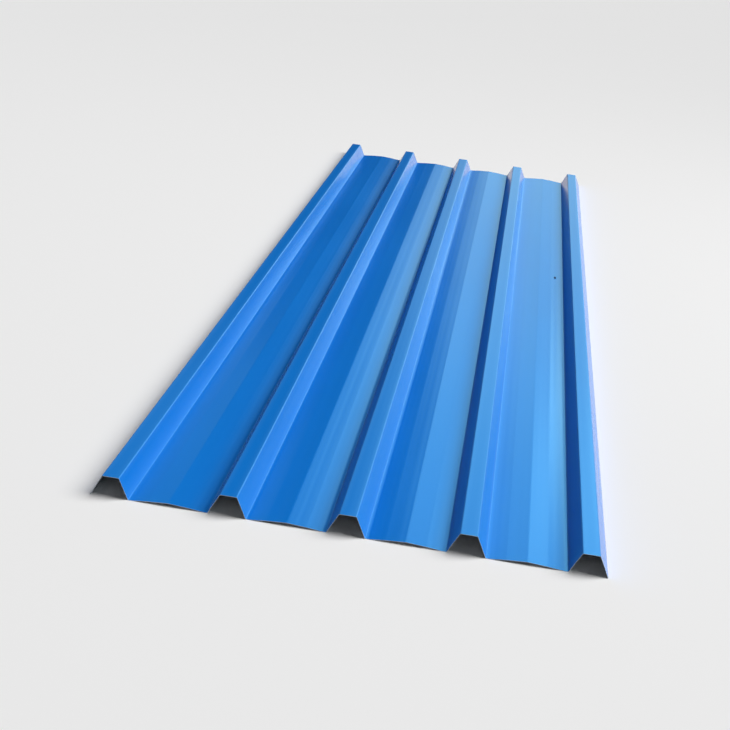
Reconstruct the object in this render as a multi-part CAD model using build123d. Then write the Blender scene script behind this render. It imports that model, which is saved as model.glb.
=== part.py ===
from build123d import *
import os

os.makedirs("parts", exist_ok=True)

# A roll-formed trapezoidal roofing and cladding sheet, pressed from one strip of
# coated steel and sheared square at both ends. It lies flat with its ribs up.
# X runs across the ribs, Y runs along them, and Z is up from the surface it lies on.

# Overall sizes, in millimetres
sheet_length = 3000.0
rib_count = 5
rib_pitch = 190.0
rib_height = 35.0
sheet_thickness = 0.5

# One rib, measured on the underside between the corners of its bends
crest_width = 27.0
flank_run = 17.0
bend_radius = 2.0

# One pan: a flat land beside each rib, and between the lands a shallow arch of
# four facets, creased at each quarter of the pan's width and highest at its middle
land_width = 6.0
shoulder_height = 2.8
crown_height = 5.0
crease_radius = 30.0

# Heights of the underside, which stands on its lands and its two outer legs
seat_level = 0.0
crest_level = rib_height - sheet_thickness

half_crest = crest_width / 2
half_foot = half_crest + flank_run
half_pan = rib_pitch / 2 - half_foot
first_rib_x = -rib_pitch * (rib_count - 1) / 2

# The wall keeps one thickness round every bend, so where the underside is on the
# outside of a bend, as at a foot or at a land's edge, its radius takes the thickness.
inner_bend = bend_radius
outer_bend = bend_radius + sheet_thickness
inner_crease = crease_radius
outer_crease = crease_radius + sheet_thickness


def rib_corners(rib_x):
    """The underside corners of one rib, from its left foot to its right foot."""
    return [
        (rib_x - half_foot, seat_level),
        (rib_x - half_crest, crest_level),
        (rib_x + half_crest, crest_level),
        (rib_x + half_foot, seat_level),
    ]


def pan_corners(pan_x):
    """The underside creases of one pan, from its left land to its right land."""
    land_edge = half_pan - land_width
    quarter = half_pan / 2
    return [
        (pan_x - land_edge, seat_level),
        (pan_x - quarter, shoulder_height),
        (pan_x, crown_height),
        (pan_x + quarter, shoulder_height),
        (pan_x + land_edge, seat_level),
    ]


rib_bends = [outer_bend, inner_bend, inner_bend, outer_bend]
pan_bends = [outer_crease, inner_crease, inner_crease, inner_crease, outer_crease]

# The underside of the whole section, rib and pan in turn
corners = []
bends = []
for rib in range(rib_count):
    rib_x = first_rib_x + rib * rib_pitch
    corners += rib_corners(rib_x)
    bends += rib_bends
    if rib < rib_count - 1:
        corners += pan_corners(rib_x + rib_pitch / 2)
        bends += pan_bends

# The first and the last corner are the strip's own edges, which have no bend.
underside = Plane.XZ * FilletPolyline(*corners, radius=bends[1:-1])

# The wall is the strip between the underside and the same line one thickness above it.
section = make_face(offset(underside, amount=sheet_thickness, side=Side.LEFT, closed=True))
corrugated_sheet = extrude(section, amount=sheet_length / 2, both=True)
corrugated_sheet.label = "corrugated_sheet"

export_step(corrugated_sheet, "parts/corrugated_sheet.step")
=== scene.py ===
import math
import bpy
from mathutils import Matrix, Vector


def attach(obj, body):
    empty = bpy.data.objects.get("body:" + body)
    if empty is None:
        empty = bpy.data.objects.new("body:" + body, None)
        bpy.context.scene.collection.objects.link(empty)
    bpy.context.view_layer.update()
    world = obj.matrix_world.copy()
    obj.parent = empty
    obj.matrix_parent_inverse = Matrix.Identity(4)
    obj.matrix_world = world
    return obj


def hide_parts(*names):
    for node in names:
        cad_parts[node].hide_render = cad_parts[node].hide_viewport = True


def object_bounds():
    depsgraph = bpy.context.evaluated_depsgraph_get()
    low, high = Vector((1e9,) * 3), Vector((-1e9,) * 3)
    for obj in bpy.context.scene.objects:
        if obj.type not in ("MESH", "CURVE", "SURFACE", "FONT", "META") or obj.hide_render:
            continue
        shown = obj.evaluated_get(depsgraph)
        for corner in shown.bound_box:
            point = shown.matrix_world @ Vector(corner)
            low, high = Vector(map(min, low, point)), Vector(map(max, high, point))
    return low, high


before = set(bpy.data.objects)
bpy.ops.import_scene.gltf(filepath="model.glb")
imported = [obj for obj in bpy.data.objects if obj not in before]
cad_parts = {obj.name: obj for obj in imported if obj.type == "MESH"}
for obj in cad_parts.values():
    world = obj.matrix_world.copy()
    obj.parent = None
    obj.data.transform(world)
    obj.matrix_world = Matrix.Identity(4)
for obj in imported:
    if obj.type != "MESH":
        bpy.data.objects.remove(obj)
cad_low, cad_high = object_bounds()


# The sheet
# One strip of hot-dip galvanised steel, primed and painted flat in the coil, then bent
# cold through a line of rollers into five ribs and four arched pans. A guillotine cuts
# it square at both ends, so the only bare metal is on its sheared edges.

MM = 0.001

sheet_length = cad_high.y - cad_low.y
sheet_height = cad_high.z - cad_low.z
rib_count = 5
rib_pitch = 190 * MM
thickness = 0.5 * MM
half_crest = 13.5 * MM
flank_run = 17 * MM
half_foot = half_crest + flank_run
half_pan = rib_pitch / 2 - half_foot
land_width = 6 * MM
shoulder_height = 2.8 * MM
crown_height = 5 * MM
bend_radius = 2 * MM
crease_radius = 30 * MM

# Coiled strip is never quite flat again: its pans swell and sink a little along the sheet.
swell_height = 0.3 * MM
swell_length = 420 * MM
swell_width = 160 * MM
swell_seed = 7

# How finely the bends, the flats between them and the length are divided
arc_steps = 5
flat_spacing = 9 * MM
length_steps = 96


def add(tree, kind, inputs=None, **settings):
    """Adds a node with its settings, and gives each input a value, a link or a list of links."""
    made = tree.nodes.new(kind)
    for name, value in settings.items():
        setattr(made, name, value)
    for key, value in (inputs or {}).items():
        for source in value if isinstance(value, list) else [value]:
            if isinstance(source, bpy.types.NodeSocket):
                tree.links.new(source, made.inputs[key])
            else:
                made.inputs[key].default_value = source
    return made


def color(code):
    """An sRGB hex value as a linear colour."""
    parts = [int(code[i : i + 2], 16) / 255 for i in (1, 3, 5)]
    linear = [p / 12.92 if p <= 0.04045 else ((p + 0.055) / 1.055) ** 2.4 for p in parts]
    return (*linear, 1.0)


def material(name):
    """A new material, its node tree and its Principled shader."""
    made = bpy.data.materials.new(name)
    made.use_nodes = True
    return made, made.node_tree, made.node_tree.nodes["Principled BSDF"]


def along_sheet(nodes, width, length):
    """Object coordinates in which one unit is width across the sheet and length along it."""
    position = add(nodes, "ShaderNodeTexCoord").outputs["Object"]
    scale = (1 / width, 1 / length, 1 / width)
    scaled = add(nodes, "ShaderNodeVectorMath", {0: position, 1: scale}, operation="MULTIPLY")
    return scaled.outputs[0]


# Polyester topcoat, roller coated over primer and baked: a semi-gloss film that is smooth
# along the coil, so it mirrors broad lights softly and shows every change of slope.
fresh_blue, dusty_blue = color("#0B76D4"), color("#0F7DDC")
# The paler blue at the bends is partly stretched film and partly a painted highlight.
stretched_and_highlight_blue = color("#4E9BEA")
scuffed_blue = color("#0E2A4A")
film_roughness, dusty_roughness = 0.15, 0.2
streak_roughness = 0.05
film_specular = 0.35
topcoat, nodes, shader = material("polyester_topcoat")

# Roller marks: shallow waves across the strip that run its whole length and band the gloss,
# deeper than the real ones to show
mark_width, mark_length, mark_depth = 14 * MM, 6000 * MM, 0.25 * MM
roller_marks = add(
    nodes,
    "ShaderNodeTexNoise",
    {"Vector": along_sheet(nodes, mark_width, mark_length), "Scale": 1.0, "Detail": 1.0},
).outputs["Fac"]

# Faint streaks that the rollers leave along the sheet, wider than the real ones to show
streak_width, streak_length, streak_depth = 5 * MM, 1400 * MM, 0.004 * MM
streaks = add(
    nodes,
    "ShaderNodeTexNoise",
    {"Vector": along_sheet(nodes, streak_width, streak_length), "Scale": 1.0, "Detail": 2.0},
).outputs["Fac"]

# Orange peel of the baked film, wider than the real one too
peel_width, peel_length, peel_depth = 4 * MM, 6 * MM, 0.002 * MM
peel = add(
    nodes,
    "ShaderNodeTexNoise",
    {"Vector": along_sheet(nodes, peel_width, peel_length), "Scale": 1.0, "Detail": 1.0},
).outputs["Fac"]

# Broad patches where rolling oil and dust dull the film
patch_width, patch_length = 120 * MM, 500 * MM
patches = add(
    nodes,
    "ShaderNodeTexNoise",
    {"Vector": along_sheet(nodes, patch_width, patch_length), "Scale": 1.0, "Detail": 3.0},
).outputs["Fac"]

# Each tight bend is painted a little paler: partly the film stretched thin over it, partly a
# painted highlight along the bend.
stretch_and_highlight_share = 0.25
stretch_and_highlight = add(nodes, "ShaderNodeAttribute", attribute_name="bend").outputs["Fac"]
stretch_and_highlight = add(
    nodes, "ShaderNodeMath", {0: stretch_and_highlight, 1: stretch_and_highlight_share}, operation="MULTIPLY"
).outputs[0]

# One dark scuff, along the sheet in the outermost pan to the right, with a soft rim
scuff_x, scuff_y = 328 * MM, 215 * MM
scuff_width, scuff_length = 3.5 * MM, 14 * MM
scuff_rim, scuff_core = 1.0, 0.7
position = add(nodes, "ShaderNodeTexCoord").outputs["Object"]
scuff_scale = (1 / scuff_width, 1 / scuff_length, 0)
scuff_centre = (scuff_x / scuff_width, scuff_y / scuff_length, 0)
from_scuff = add(
    nodes, "ShaderNodeVectorMath", {0: position, 1: scuff_scale}, operation="MULTIPLY"
).outputs[0]
from_scuff = add(
    nodes, "ShaderNodeVectorMath", {0: from_scuff, 1: scuff_centre}, operation="DISTANCE"
).outputs["Value"]
scuff = add(
    nodes,
    "ShaderNodeMapRange",
    {"Value": from_scuff, "From Min": scuff_rim, "From Max": scuff_core},
).outputs[0]

paint = add(
    nodes, "ShaderNodeMix", {0: patches, 6: fresh_blue, 7: dusty_blue}, data_type="RGBA"
).outputs[2]
# Paler at the bends: stretched film and a painted highlight.
paint = add(
    nodes, "ShaderNodeMix", {0: stretch_and_highlight, 6: paint, 7: stretched_and_highlight_blue}, data_type="RGBA"
).outputs[2]
paint = add(
    nodes, "ShaderNodeMix", {0: scuff, 6: paint, 7: scuffed_blue}, data_type="RGBA"
).outputs[2]
nodes.links.new(paint, shader.inputs["Base Color"])

# Dust and streaks roughen the film a little, and the scuff is bare of gloss.
dulled = add(
    nodes,
    "ShaderNodeMapRange",
    {"Value": patches, "To Min": film_roughness, "To Max": dusty_roughness},
).outputs[0]
dulled = add(
    nodes,
    "ShaderNodeMath",
    {0: streaks, 1: streak_roughness, 2: dulled},
    operation="MULTIPLY_ADD",
).outputs[0]
dulled = add(nodes, "ShaderNodeMath", {0: dulled, 1: scuff}, operation="MAXIMUM").outputs[0]
nodes.links.new(dulled, shader.inputs["Roughness"])
shader.inputs["Specular IOR Level"].default_value = film_specular

waved = add(nodes, "ShaderNodeBump", {"Height": roller_marks, "Distance": mark_depth}).outputs[0]
grooved = add(
    nodes, "ShaderNodeBump", {"Height": streaks, "Distance": streak_depth, "Normal": waved}
).outputs[0]
pebbled = add(
    nodes, "ShaderNodeBump", {"Height": peel, "Distance": peel_depth, "Normal": grooved}
).outputs[0]
nodes.links.new(pebbled, shader.inputs["Normal"])

# Epoxy back coat: a thin pale grey film on the underside, duller than the topcoat and
# rubbed into slight streaks by the rollers.
grey, rubbed_grey = color("#A8ADB3"), color("#BCC0C6")
coat_roughness, rubbed_roughness = 0.42, 0.55
rub_width, rub_length = 8 * MM, 900 * MM
back_coat, nodes, shader = material("epoxy_back_coat")
rubbed = add(
    nodes,
    "ShaderNodeTexNoise",
    {"Vector": along_sheet(nodes, rub_width, rub_length), "Scale": 1.0, "Detail": 3.0},
).outputs["Fac"]
coat = add(
    nodes, "ShaderNodeMix", {0: rubbed, 6: grey, 7: rubbed_grey}, data_type="RGBA"
).outputs[2]
nodes.links.new(coat, shader.inputs["Base Color"])
dulled = add(
    nodes,
    "ShaderNodeMapRange",
    {"Value": rubbed, "To Min": coat_roughness, "To Max": rubbed_roughness},
).outputs[0]
nodes.links.new(dulled, shader.inputs["Roughness"])

# Sheared edge: bare steel between two thin bright lines of zinc, torn dull by the blade
torn_steel, bright_zinc = color("#9299A0"), color("#CDD1D4")
sheared_roughness, torn_roughness = 0.3, 0.5
tear_size = 0.8 * MM
sheared_edge, nodes, shader = material("sheared_galvanised_edge")
torn = add(
    nodes,
    "ShaderNodeTexNoise",
    {"Vector": along_sheet(nodes, tear_size, tear_size), "Scale": 1.0, "Detail": 3.0},
).outputs["Fac"]
metal = add(
    nodes, "ShaderNodeMix", {0: torn, 6: torn_steel, 7: bright_zinc}, data_type="RGBA"
).outputs[2]
nodes.links.new(metal, shader.inputs["Base Color"])
dulled = add(
    nodes,
    "ShaderNodeMapRange",
    {"Value": torn, "To Min": sheared_roughness, "To Max": torn_roughness},
).outputs[0]
nodes.links.new(dulled, shader.inputs["Roughness"])
shader.inputs["Metallic"].default_value = 1.0

# Roll forming, as a node tree: the section's corners, its bends, its length, its thickness
tree = bpy.data.node_groups.new("roll_forming", "GeometryNodeTree")
tree.interface.new_socket("Sheet", in_out="OUTPUT", socket_type="NodeSocketGeometry")
given_values = {
    "Ribs": rib_count,
    "Arc steps": arc_steps,
    "Length steps": length_steps,
    "Seed": swell_seed,
    "Length": sheet_length,
    "Pitch": rib_pitch,
    "Crest half width": half_crest,
    "Foot half width": half_foot,
    "Pan half width": half_pan,
    "Land width": land_width,
    "Crest height": sheet_height - thickness,
    "Shoulder height": shoulder_height,
    "Crown height": crown_height,
    "Bend radius": bend_radius,
    "Crease radius": crease_radius,
    "Thickness": thickness,
    "Flat spacing": flat_spacing,
    "Swell height": swell_height,
    "Swell length": swell_length,
    "Swell width": swell_width,
    "Topcoat": topcoat,
    "Back coat": back_coat,
    "Sheared edge": sheared_edge,
}
socket_types = {
    int: "NodeSocketInt",
    float: "NodeSocketFloat",
    bpy.types.Material: "NodeSocketMaterial",
}
identifiers = {}
for name, value in given_values.items():
    made = tree.interface.new_socket(name, in_out="INPUT", socket_type=socket_types[type(value)])
    identifiers[name] = made.identifier
given = add(tree, "NodeGroupInput").outputs

# Nine corners make one rib and the pan to its right. Each is written as the side of the
# middle that it is on, then whether that is the pan's middle, its distance from there, its
# height, its bend's radius on the underside, and how far the strip is free to swell there.
outer_bend = add(
    tree, "ShaderNodeMath", {0: given["Bend radius"], 1: given["Thickness"]}
).outputs[0]
outer_crease = add(
    tree, "ShaderNodeMath", {0: given["Crease radius"], 1: given["Thickness"]}
).outputs[0]
land_edge = add(
    tree,
    "ShaderNodeMath",
    {0: given["Pan half width"], 1: given["Land width"]},
    operation="SUBTRACT",
).outputs[0]
quarter = add(
    tree, "ShaderNodeMath", {0: given["Pan half width"], 1: 0.5}, operation="MULTIPLY"
).outputs[0]
foot = (0, given["Foot half width"], 0, outer_bend, 0)
crest = (0, given["Crest half width"], given["Crest height"], given["Bend radius"], 0)
land = (1, land_edge, 0, outer_crease, 0)
shoulder = (1, quarter, given["Shoulder height"], given["Crease radius"], 1)
crown = (1, 0, given["Crown height"], given["Crease radius"], 1)
rib_corners = [(-1, *foot), (-1, *crest), (1, *crest), (1, *foot)]
pan_corners = [(-1, *land), (-1, *shoulder), (1, *crown), (1, *shoulder), (1, *land)]
corners = rib_corners + pan_corners

index = add(tree, "GeometryNodeInputIndex").outputs[0]
period = add(tree, "ShaderNodeMath", {0: index, 1: len(corners)}, operation="DIVIDE").outputs[0]
period = add(tree, "ShaderNodeMath", {0: period}, operation="FLOOR").outputs[0]
corner = add(tree, "ShaderNodeMath", {0: index, 1: len(corners)}, operation="MODULO").outputs[0]
fields = []
for column in zip(*corners):
    chosen = add(tree, "GeometryNodeIndexSwitch", {0: corner}, data_type="FLOAT")
    while len(chosen.index_switch_items) < len(corners):
        chosen.index_switch_items.new()
    for item, value in enumerate(column, start=1):
        if isinstance(value, bpy.types.NodeSocket):
            tree.links.new(value, chosen.inputs[item])
        else:
            chosen.inputs[item].default_value = value
    fields.append(chosen.outputs[0])
side, on_pan, distance, height, radius, free = fields

# Across the sheet, a corner is at its period's rib, or half a pitch more for its pan, less
# the middle rib's place, and then at its own distance to one side.
middle = add(
    tree, "ShaderNodeMath", {0: given["Ribs"], 1: 0.5, 2: -0.5}, operation="MULTIPLY_ADD"
).outputs[0]
pitches = add(
    tree, "ShaderNodeMath", {0: on_pan, 1: 0.5, 2: period}, operation="MULTIPLY_ADD"
).outputs[0]
pitches = add(tree, "ShaderNodeMath", {0: pitches, 1: middle}, operation="SUBTRACT").outputs[0]
aside = add(tree, "ShaderNodeMath", {0: side, 1: distance}, operation="MULTIPLY").outputs[0]
across = add(
    tree, "ShaderNodeMath", {0: pitches, 1: given["Pitch"], 2: aside}, operation="MULTIPLY_ADD"
).outputs[0]
down = add(tree, "ShaderNodeMath", {0: height, 1: -1}, operation="MULTIPLY").outputs[0]
corner_place = add(tree, "ShaderNodeCombineXYZ", {0: across, 1: down}).outputs[0]

# The flat strip's section: a period for each rib, but the last rib has no pan after it.
points = add(
    tree,
    "ShaderNodeMath",
    {0: given["Ribs"], 1: len(corners), 2: -len(pan_corners)},
    operation="MULTIPLY_ADD",
).outputs[0]
strip = add(tree, "GeometryNodeMeshLine", {"Count": points}).outputs[0]
strip = add(
    tree, "GeometryNodeSetPosition", {"Geometry": strip, "Position": corner_place}
).outputs[0]
for name, value in {"bend_radius": radius, "free": free}.items():
    strip = add(
        tree,
        "GeometryNodeStoreNamedAttribute",
        {"Geometry": strip, "Name": name, "Value": value},
        data_type="FLOAT",
        domain="POINT",
    ).outputs[0]
section = add(tree, "GeometryNodeMeshToCurve", {"Mesh": strip}).outputs[0]
bend_at = add(
    tree, "GeometryNodeInputNamedAttribute", {"Name": "bend_radius"}, data_type="FLOAT"
).outputs[0]
section = add(
    tree,
    "GeometryNodeFilletCurve",
    {"Curve": section, "Count": given["Arc steps"], "Radius": bend_at},
    mode="POLY",
).outputs[0]

# Flats are divided by their own length, so they can swell between the bends.
here = add(tree, "GeometryNodeInputPosition").outputs[0]
index = add(tree, "GeometryNodeInputIndex").outputs[0]
next_index = add(tree, "ShaderNodeMath", {0: index, 1: 1}).outputs[0]
beyond = add(
    tree,
    "GeometryNodeSampleIndex",
    {"Geometry": section, "Value": here, "Index": next_index},
    data_type="FLOAT_VECTOR",
    domain="POINT",
    clamp=True,
).outputs[0]
flat = add(
    tree, "ShaderNodeVectorMath", {0: here, 1: beyond}, operation="DISTANCE"
).outputs["Value"]
cuts = add(
    tree, "ShaderNodeMath", {0: flat, 1: given["Flat spacing"]}, operation="DIVIDE"
).outputs[0]
section = add(tree, "GeometryNodeSubdivideCurve", {"Curve": section, "Cuts": cuts}).outputs[0]

# The section runs the length of the sheet.
ends = []
for share in (-0.5, 0.5):
    end = add(tree, "ShaderNodeMath", {0: given["Length"], 1: share}, operation="MULTIPLY")
    ends.append(add(tree, "ShaderNodeCombineXYZ", {1: end.outputs[0]}).outputs[0])
rail = add(tree, "GeometryNodeCurvePrimitiveLine", {"Start": ends[0], "End": ends[1]}).outputs[0]
rail = add(
    tree, "GeometryNodeResampleCurve", {"Curve": rail, "Count": given["Length steps"]}
).outputs[0]
skin = add(tree, "GeometryNodeCurveToMesh", {"Curve": rail, "Profile Curve": section}).outputs[0]

# The topcoat reads where the strip is bent tightly, from the turn between two facets, in
# radians. The pans' wide creases turn too little to count.
slack_turn, tight_turn = 0.02, 0.08
turn = add(tree, "GeometryNodeInputMeshEdgeAngle").outputs["Unsigned Angle"]
bent = add(
    tree, "ShaderNodeMapRange", {"Value": turn, "From Min": slack_turn, "From Max": tight_turn}
).outputs[0]
skin = add(
    tree,
    "GeometryNodeStoreNamedAttribute",
    {"Geometry": skin, "Name": "bend", "Value": bent},
    data_type="FLOAT",
    domain="POINT",
).outputs[0]

# Slow swells lift and sink the pans between their lands.
spread = add(tree, "ShaderNodeSeparateXYZ", {0: here}).outputs
over = add(
    tree, "ShaderNodeMath", {0: spread[0], 1: given["Swell width"]}, operation="DIVIDE"
).outputs[0]
along = add(
    tree, "ShaderNodeMath", {0: spread[1], 1: given["Swell length"]}, operation="DIVIDE"
).outputs[0]
wave = add(tree, "ShaderNodeCombineXYZ", {0: over, 1: along, 2: given["Seed"]}).outputs[0]
wave = add(tree, "ShaderNodeTexNoise", {"Vector": wave, "Scale": 1.0, "Detail": 1.0}).outputs[0]
wave = add(tree, "ShaderNodeMath", {0: wave, 1: 2, 2: -1}, operation="MULTIPLY_ADD").outputs[0]
wave = add(
    tree, "ShaderNodeMath", {0: wave, 1: given["Swell height"]}, operation="MULTIPLY"
).outputs[0]
freedom = add(
    tree, "GeometryNodeInputNamedAttribute", {"Name": "free"}, data_type="FLOAT"
).outputs[0]
lift = add(tree, "ShaderNodeMath", {0: wave, 1: freedom}, operation="MULTIPLY").outputs[0]
lift = add(tree, "ShaderNodeCombineXYZ", {2: lift}).outputs[0]
skin = add(tree, "GeometryNodeSetPosition", {"Geometry": skin, "Offset": lift}).outputs[0]

# The underside skin is raised by the thickness, and its own copy closes it below.
raised = add(
    tree,
    "GeometryNodeExtrudeMesh",
    {"Mesh": skin, "Offset Scale": given["Thickness"], "Individual": False},
    mode="FACES",
).outputs
below = add(tree, "GeometryNodeFlipFaces", {"Mesh": skin}).outputs[0]
wall = add(tree, "GeometryNodeJoinGeometry", {0: [raised["Mesh"], below]}).outputs[0]
weld_distance = thickness / 50
wall = add(
    tree, "GeometryNodeMergeByDistance", {"Geometry": wall, "Distance": weld_distance}
).outputs[0]
on_edge = raised["Side"]
smooth = add(tree, "FunctionNodeBooleanMath", {0: on_edge}, operation="NOT").outputs[0]
wall = add(
    tree, "GeometryNodeSetShadeSmooth", {"Geometry": wall, "Shade Smooth": smooth}
).outputs[0]
wall = add(tree, "GeometryNodeRealizeInstances", {"Geometry": wall}).outputs[0]
wall = add(
    tree, "GeometryNodeSetMaterial", {"Geometry": wall, "Material": given["Back coat"]}
).outputs[0]
for selection, coating in ((raised["Top"], "Topcoat"), (on_edge, "Sheared edge")):
    wall = add(
        tree,
        "GeometryNodeSetMaterial",
        {"Geometry": wall, "Selection": selection, "Material": given[coating]},
    ).outputs[0]
add(tree, "NodeGroupOutput", {0: wall})

# The tree's result becomes a plain mesh, with the normals of its flats kept flat.
blank = bpy.data.objects.new("blank", bpy.data.meshes.new("blank"))
bpy.context.collection.objects.link(blank)
forming = blank.modifiers.new("roll_forming", "NODES")
forming.node_group = tree
for name, value in given_values.items():
    forming[identifiers[name]] = value
facing = blank.modifiers.new("flat_faces_keep_their_normals", "WEIGHTED_NORMAL")
facing.keep_sharp = True

evaluated = blank.evaluated_get(bpy.context.evaluated_depsgraph_get())
formed = bpy.data.meshes.new_from_object(evaluated)
formed.name = "painted_sheet"
sheet = bpy.data.objects.new("painted_sheet", formed)
bpy.context.collection.objects.link(sheet)
bpy.data.objects.remove(blank)
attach(sheet, "root")
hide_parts("corrugated_sheet")


# Floor, lights and camera
# A plain pale studio floor, far wider than the view, one broad key light from high on the
# right, a soft panel beside it, and a ring of cloth walls that only the gloss shows.

square = ((-1, -1), (1, -1), (1, 1), (-1, 1))
floor_reach = 200
floor_drop = 0.1 * MM
floor_mesh = bpy.data.meshes.new("floor")
floor_mesh.from_pydata(
    [(x * floor_reach, y * floor_reach, -floor_drop) for x, y in square], [], [(0, 1, 2, 3)]
)
floor = bpy.data.objects.new("floor", floor_mesh)
bpy.context.collection.objects.link(floor)
floor_paint, nodes, shader = material("floor_paint")
shader.inputs["Base Color"].default_value = color("#FAFAFA")
shader.inputs["Roughness"].default_value = 0.9
shader.inputs["Specular IOR Level"].default_value = 0.0
floor_mesh.materials.append(floor_paint)


def lamp(name, kind, place, **settings):
    """A lamp at a place, turned towards the middle of the sheet."""
    light = bpy.data.lights.new(name, kind)
    for setting, value in settings.items():
        setattr(light, setting, value)
    made = bpy.data.objects.new(name, light)
    made.location = place
    made.rotation_mode = "QUATERNION"
    made.rotation_quaternion = (-Vector(place)).to_track_quat("-Z", "Y")
    bpy.context.collection.objects.link(made)


# The key is broad, so the ribs' shadows in the pans are soft.
lamp("key", "SUN", (1.0, 0.3, 1.25), energy=3.15, angle=0.9)
lamp("softbox", "AREA", (2.3, 0.3, 2.9), energy=18, shape="RECTANGLE", size=2.0, size_y=4.0)

# A cloth tent stands round the set, so that the flats of the glossy sheet have something to
# mirror. It is a whiter blue low down and a bluer one above, softly clouded, dark in its left
# part up to an edge that leans a little, and brighter in one gap to the right.
tent_reach = 6.5
tent_height = 8.0
tent_lean = 0.1
low, high = 1.6, 2.9
low_blue, high_blue = color("#B9EEF6"), color("#89DFFF")
low_glow, high_glow = 2.3, 3.9
cloud_scale = 1.1
thin_cloud, thick_cloud = 0.6, 1.4

# The tent's brightness by distance from the middle, in metres, from left to right
left_end = [(-2.1, 0.11), (-1.7, 0.12), (-1.55, 0.04)]
dark_part = [(-1.4, 0.012), (-0.6, 0.014), (-0.5, 0.015), (-0.42, 0.018)]
edge = [(-0.33, 0.07), (-0.23, 0.2), (-0.08, 0.30), (0.04, 0.5)]
bright_part = [(0.2, 0.54), (1.3, 0.5)]
gap = [(1.45, 1.0), (1.9, 1.0), (2.0, 0.5)]
stops = left_end + dark_part + edge + bright_part + gap
first, last = stops[0][0], stops[-1][0]

tent_mesh = bpy.data.meshes.new("tent")
tent_mesh.from_pydata(
    [(x * tent_reach, y * tent_reach, z) for z in (0, tent_height) for x, y in square],
    [],
    [(i, (i + 1) % 4, (i + 1) % 4 + 4, i + 4) for i in range(4)],
)
tent = bpy.data.objects.new("tent", tent_mesh)
bpy.context.collection.objects.link(tent)
tent_cloth, nodes, shader = material("tent_cloth")
cloth = add(nodes, "ShaderNodeTexCoord").outputs["Object"]
from_left = add(
    nodes, "ShaderNodeVectorMath", {0: cloth, 1: (1, 0, tent_lean)}, operation="DOT_PRODUCT"
).outputs["Value"]
from_left = add(
    nodes, "ShaderNodeMapRange", {"Value": from_left, "From Min": first, "From Max": last}
).outputs[0]
shade = add(nodes, "ShaderNodeValToRGB", {"Fac": from_left})
ramp = shade.color_ramp.elements
while len(ramp) < len(stops):
    ramp.new(0.5)
for stop, (x, value) in zip(ramp, stops):
    stop.position = (x - first) / (last - first)
    stop.color = (value, value, value, 1)

rise = add(nodes, "ShaderNodeSeparateXYZ", {0: cloth}).outputs[2]
rise = add(
    nodes, "ShaderNodeMapRange", {"Value": rise, "From Min": low, "From Max": high}
).outputs[0]
tint = add(
    nodes, "ShaderNodeMix", {0: rise, 6: low_blue, 7: high_blue}, data_type="RGBA"
).outputs[2]
nodes.links.new(tint, shader.inputs["Emission Color"])
glow = add(
    nodes, "ShaderNodeMapRange", {"Value": rise, "To Min": low_glow, "To Max": high_glow}
).outputs[0]
cloudy = add(
    nodes, "ShaderNodeTexNoise", {"Vector": cloth, "Scale": cloud_scale, "Detail": 1.0}
).outputs["Fac"]
cloudy = add(
    nodes, "ShaderNodeMapRange", {"Value": cloudy, "To Min": thin_cloud, "To Max": thick_cloud}
).outputs[0]
for factor in (cloudy, shade.outputs[0]):
    glow = add(nodes, "ShaderNodeMath", {0: glow, 1: factor}, operation="MULTIPLY").outputs[0]
nodes.links.new(glow, shader.inputs["Emission Strength"])
shader.inputs["Base Color"].default_value = (0, 0, 0, 1)
shader.inputs["Roughness"].default_value = 1.0
shader.inputs["Specular IOR Level"].default_value = 0.0
tent_mesh.materials.append(tent_cloth)
tent.visible_camera = False
tent.visible_diffuse = False
tent.visible_shadow = False

# The room is white to the eye and in every reflection, but adds little light of its own.
fill = 0.03
world = bpy.data.worlds.new("studio")
world.use_nodes = True
nodes = world.node_tree
path = add(nodes, "ShaderNodeLightPath").outputs
seen = path["Is Camera Ray"]
for ray in ("Is Glossy Ray", "Is Transmission Ray"):
    seen = add(nodes, "ShaderNodeMath", {0: seen, 1: path[ray]}, operation="MAXIMUM").outputs[0]
strength = add(
    nodes, "ShaderNodeMapRange", {"Value": seen, "To Min": fill, "To Max": 1.0}
).outputs[0]
room = nodes.nodes["Background"]
room.inputs["Color"].default_value = (1, 1, 1, 1)
nodes.links.new(strength, room.inputs["Strength"])
bpy.context.scene.world = world
bpy.context.scene.view_settings.view_transform = "Standard"

# The photograph's view: a longish lens at chest height, a little right of the middle,
# with the camera tipped to one side.
camera_place = Vector((0.167, -3.530, 1.002))
aim = Vector((-0.070, -0.696, 0.0))
roll = 7.13
lens = 71.2
sensor = 36

camera = bpy.data.objects.new("camera", bpy.data.cameras.new("camera"))
camera.data.sensor_width = sensor
camera.data.lens = lens
camera.data.clip_end = 1000
camera.location = camera_place
camera.rotation_mode = "QUATERNION"
level = (aim - camera_place).to_track_quat("-Z", "Y")
camera.rotation_quaternion = level @ Matrix.Rotation(math.radians(roll), 3, "Z").to_quaternion()
bpy.context.collection.objects.link(camera)
bpy.context.scene.camera = camera
